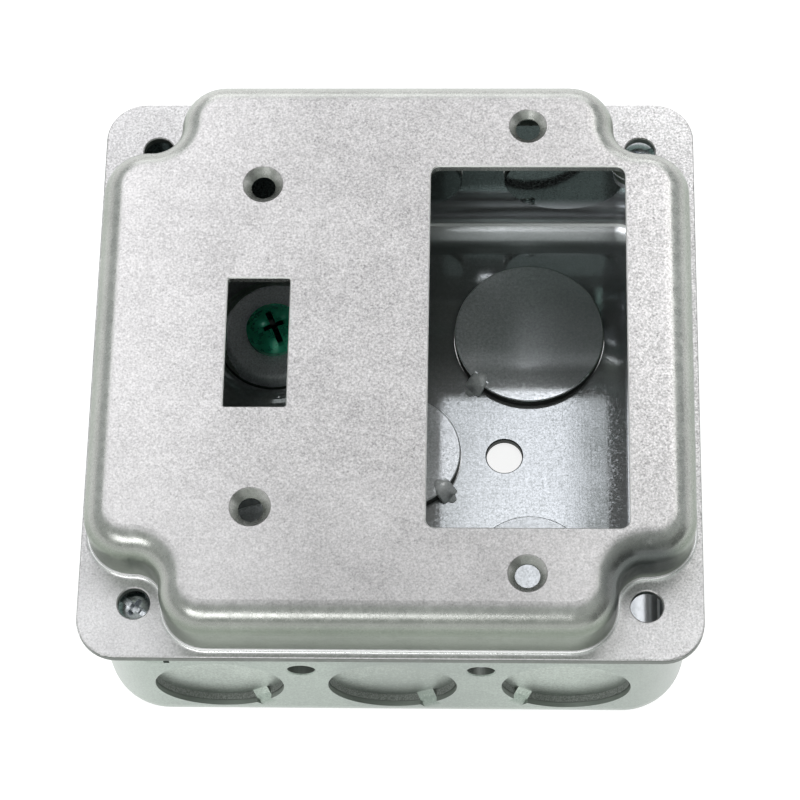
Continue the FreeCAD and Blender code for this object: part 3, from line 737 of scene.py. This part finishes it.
def add_thread(screw_name, core, crest, high, material):
    """Helical ridge round a screw's plain shank, from near its tip up to the height high."""
    axis_x, axis_y = screw_axis(screw_name)
    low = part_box(screw_name)[0][2] + THREAD_PITCH
    turns = (high - low) / THREAD_PITCH - THREAD_END_TURN
    count = int(turns * THREAD_STEPS)
    ridge = bmesh.new()
    rings = []
    for step in range(count + 1):
        angle = 2 * math.pi * step / THREAD_STEPS
        fade = min(1.0, step / THREAD_STEPS, (count - step) / THREAD_STEPS)
        height = low + THREAD_PITCH * step / THREAD_STEPS
        rings.append([ridge.verts.new((axis_x + radius * math.cos(angle),
                                       axis_y + radius * math.sin(angle),
                                       height + rise * THREAD_PITCH))
                      for radius, rise in ((core, -THREAD_BASE_SHARE),
                                           (core + (crest - core) * fade, 0.0),
                                           (core, THREAD_BASE_SHARE))])
    close_bar(ridge, rings)
    add_piece(screw_name + "_thread", ridge, material)


def tie_profile():
    """Places (along, height, lean) down the middle of a tie's face, from the sheet to the disc."""
    foot_radius = TIE_BEND - SHEET / 2
    crest_radius = TIE_BEND + SHEET / 2
    bends_rise = 2 * TIE_BEND * (1 - math.cos(TIE_SLOPE))
    run = 2 * TIE_BEND * math.sin(TIE_SLOPE) + (KNOCKOUT_PUSH - bends_rise) / math.tan(TIE_SLOPE)
    profile = [(run / 2 + TIE_LEAD, SHEET, 0.0)]
    for step in range(TIE_STEPS // 2 + 1):
        lean = TIE_SLOPE * 2 * step / TIE_STEPS
        profile.append((run / 2 - foot_radius * math.sin(lean),
                        SHEET + foot_radius * (1 - math.cos(lean)), lean))
    for step in range(TIE_STEPS // 2 + 1):
        lean = TIE_SLOPE * (1 - 2 * step / TIE_STEPS)
        profile.append((-run / 2 + crest_radius * math.sin(lean),
                        SHEET + KNOCKOUT_PUSH - crest_radius * (1 - math.cos(lean)), lean))
    profile.append((-run / 2 - TIE_LEAD, SHEET + KNOCKOUT_PUSH, 0.0))
    return profile


def tie_rim(lengths):
    """Pairs of neighbouring corners round the outline of a tie's grid, lengths squares long."""
    count = TIE_STEPS + 1
    last = lengths * count
    return ([(side, side + 1) for side in range(TIE_STEPS)]
            + [(step * count + TIE_STEPS, (step + 1) * count + TIE_STEPS)
               for step in range(lengths)]
            + [(last + side + 1, last + side) for side in range(TIE_STEPS)]
            + [((step + 1) * count, step * count) for step in range(lengths)])


def add_tie(name, place, material):
    """Stretched bridge from the sheet up to a knockout's disc, a little proud of the plain one.

    In its own frame the sheet's outer face is z = 0, +Z is inward and +X runs from the disc out
    over the tie; place carries that frame to the box.
    """
    profile = tie_profile()
    lengths = len(profile) - 1
    tie = bmesh.new()
    crown = []
    root = []
    for step, (along, height, lean) in enumerate(profile):
        from_middle = 2 * TIE_OVAL_REACH * step / lengths - TIE_OVAL_REACH
        fade = (1 - from_middle ** 2) ** TIE_OVAL_POWER
        for side in range(TIE_STEPS + 1):
            across = 2 * side / TIE_STEPS - 1
            proud = TIE_SKIN + TIE_CROWN * (1 - across * across) * fade
            for layer, offset in ((crown, proud), (root, -TIE_ROOT)):
                layer.append(tie.verts.new(place @ Vector((
                    along + offset * math.sin(lean), TIE_HALF_WIDTH * across * fade,
                    height + offset * math.cos(lean)))))
    count = TIE_STEPS + 1
    for step in range(lengths):
        for side in range(TIE_STEPS):
            corner = step * count + side
            square = (corner, corner + count, corner + count + 1, corner + 1)
            tie.faces.new([crown[at] for at in square]).smooth = True
            tie.faces.new([root[at] for at in reversed(square)])
    for here, there in tie_rim(lengths):
        tie.faces.new((crown[here], crown[there], root[there], root[here]))
    add_piece(name, tie, material)


def add_burr(name, place, radius, material):
    """Torn wedge along the foot of a disc's edge, in the frame of the knockout's tie."""
    outer = radius - BURR_INSET
    gap = math.asin(TIE_HALF_WIDTH / radius)
    burr = bmesh.new()
    rings = []
    for step in range(BURR_STEPS + 1):
        angle = gap + (2 * math.pi - 2 * gap) * step / BURR_STEPS
        rings.append([burr.verts.new(place @ Vector((reach * math.cos(angle) - radius,
                                                     reach * math.sin(angle), height)))
                      for reach, height in ((outer, KNOCKOUT_PUSH),
                                            (outer - BURR_WIDTH, KNOCKOUT_PUSH),
                                            (outer - BURR_WIDTH / 4, BURR_TIP))])
    close_bar(burr, rings)
    add_piece(name, burr, material)


def add_ties(back_tie_painted_light, back_torn, wall_steel, wall_torn):
    """One stretched tie and one torn edge on each knockout of the back and of the four walls."""
    for index, (x, y, radius, angle) in enumerate(BACK_KNOCKOUTS, 1):
        place = (Matrix.Translation((x, y, 0)) @ Matrix.Rotation(math.radians(angle), 4, "Z")
                 @ Matrix.Translation((radius, 0, 0)))
        add_tie("back_tie_%d" % index, place, back_tie_painted_light)
        add_burr("back_burr_%d" % index, place, radius, back_torn)
    stand = Matrix.Rotation(math.pi, 4, "Z") @ Matrix.Rotation(math.pi / 2, 4, "X")
    for wall in range(4):
        turn = Matrix.Rotation(wall * math.pi / 2, 4, "Z")
        for index, (along, angle) in enumerate(WALL_KNOCKOUTS, 1):
            to_tie = (Matrix.Rotation(math.radians(180 - angle), 4, "Z")
                      @ Matrix.Translation((HALF_INCH_RADIUS, 0, 0)))
            place = (turn @ Matrix.Translation((along, -BOX_HALF, WALL_KNOCKOUT_HEIGHT)) @ stand
                     @ to_tie)
            add_tie("wall_%d_tie_%d" % (wall + 1, index), place, wall_steel)
            add_burr("wall_%d_burr_%d" % (wall + 1, index), place, HALF_INCH_RADIUS, wall_torn)


def add_floor():
    """Plain pale floor. Camera and mirror rays see it white, with the object's soft shadow."""
    half = FLOOR_SIZE / 2
    mesh = bpy.data.meshes.new("floor")
    mesh.from_pydata([(-half, -half, 0.0), (half, -half, 0.0), (half, half, 0.0),
                      (-half, half, 0.0)], [], [(0, 1, 2, 3)])
    floor = new_object("floor", mesh)
    material, nodes = new_material("pale_floor")
    rays = nodes.add("ShaderNodeLightPath", {}).outputs
    seen = nodes.math("MAXIMUM", rays["Is Camera Ray"], rays["Is Glossy Ray"],
                      rays["Is Transmission Ray"])
    plain = nodes.add("ShaderNodeBsdfDiffuse", {"Color": FLOOR_COLOUR})
    shown = nodes.add("ShaderNodeBsdfDiffuse", {"Color": FLOOR_SHOWN_COLOUR})
    glow = nodes.add("ShaderNodeEmission", {"Color": WHITE, "Strength": FLOOR_GLOW})
    both = nodes.add("ShaderNodeAddShader", {0: shown.outputs[0], 1: glow.outputs[0]})
    nodes.surface(nodes.add("ShaderNodeMixShader", {0: seen, 1: plain.outputs[0],
                                                    2: both.outputs[0]}))
    mesh.materials.append(material)


def add_world():
    """Soft studio dome: white at the horizon, pale behind, darker in front, with a dark flag."""
    world = bpy.data.worlds.new("studio")
    world.use_nodes = True
    bpy.context.scene.world = world
    nodes = Nodes(world.node_tree)
    way = nodes.add("ShaderNodeTexCoord", {}).outputs["Generated"]
    parts = nodes.parts(way)

    def patch(aim, inner, outer):
        """Mask of a round patch of the dome."""
        return nodes.span(nodes.vector_math("DOT_PRODUCT", way, aim)["Value"], outer, inner,
                          0.0, 1.0, smooth=True)

    dome = nodes.mix(nodes.span(parts["Y"], FRONT_END, REAR_START, 0.0, 1.0, smooth=True),
                     DOME_FRONT, DOME_REAR)
    dome = nodes.mix(patch(GAP_AIM, GAP_INNER, GAP_OUTER), dome, GAP_COLOUR)
    colour = nodes.mix(nodes.span(parts["Z"], HORIZON_TOP, DOME_START, 0.0, 1.0, smooth=True),
                       WHITE, dome)
    rays = nodes.add("ShaderNodeLightPath", {}).outputs
    unseen = nodes.math("SUBTRACT", 1.0, rays["Is Camera Ray"])
    flag = nodes.math("MULTIPLY", patch(FLAG_AIM, FLAG_INNER, FLAG_OUTER), unseen)
    colour = nodes.mix(flag, colour, FLAG_COLOUR)
    background = nodes.add("ShaderNodeBackground", {"Color": colour, "Strength": 1.0})
    out = nodes.add("ShaderNodeOutputWorld", {})
    nodes.tree.links.new(background.outputs[0], out.inputs["Surface"])


def add_softbox(name, place, aim, width, depth, radiance, colour):
    """Rectangular soft light whose brightness is given as the radiance of its face."""
    data = bpy.data.lights.new(name, "AREA")
    data.shape = "RECTANGLE"
    data.size = width
    data.size_y = depth
    data.energy = radiance * math.pi * width * depth
    data.color = colour
    lamp = new_object(name, data)
    away = (Vector(place) - Vector(aim)).normalized()
    lamp.matrix_world = Matrix.Translation(place) @ away.to_track_quat("Z", "Y").to_matrix().to_4x4()


add_camera()
add_floor()
add_world()
for softbox in SOFTBOXES:
    add_softbox(*softbox)

dress("raised_cover", cover_material())
steel = box_material()
dress("box_body", steel)
zinc = screw_material()
green = green_material()
dress("ground_screw", green)
add_ties(painted_light_tie_material(), burr_material("shaded_torn_edge", SHADED_TORN_TONES), steel,
         burr_material("light_torn_edge", LIGHT_TORN_TONES))
for screw_name in ("cover_screw_front", "cover_screw_rear"):
    dress(screw_name, zinc)
    add_thread(screw_name, COVER_SCREW_CORE, COVER_SCREW_CREST, EAR_UNDERSIDE, zinc)
add_thread("ground_screw", GROUND_SCREW_CORE, GROUND_SCREW_CREST, BOSS_UNDERSIDE, green)

bpy.context.scene.view_settings.view_transform = "Standard"
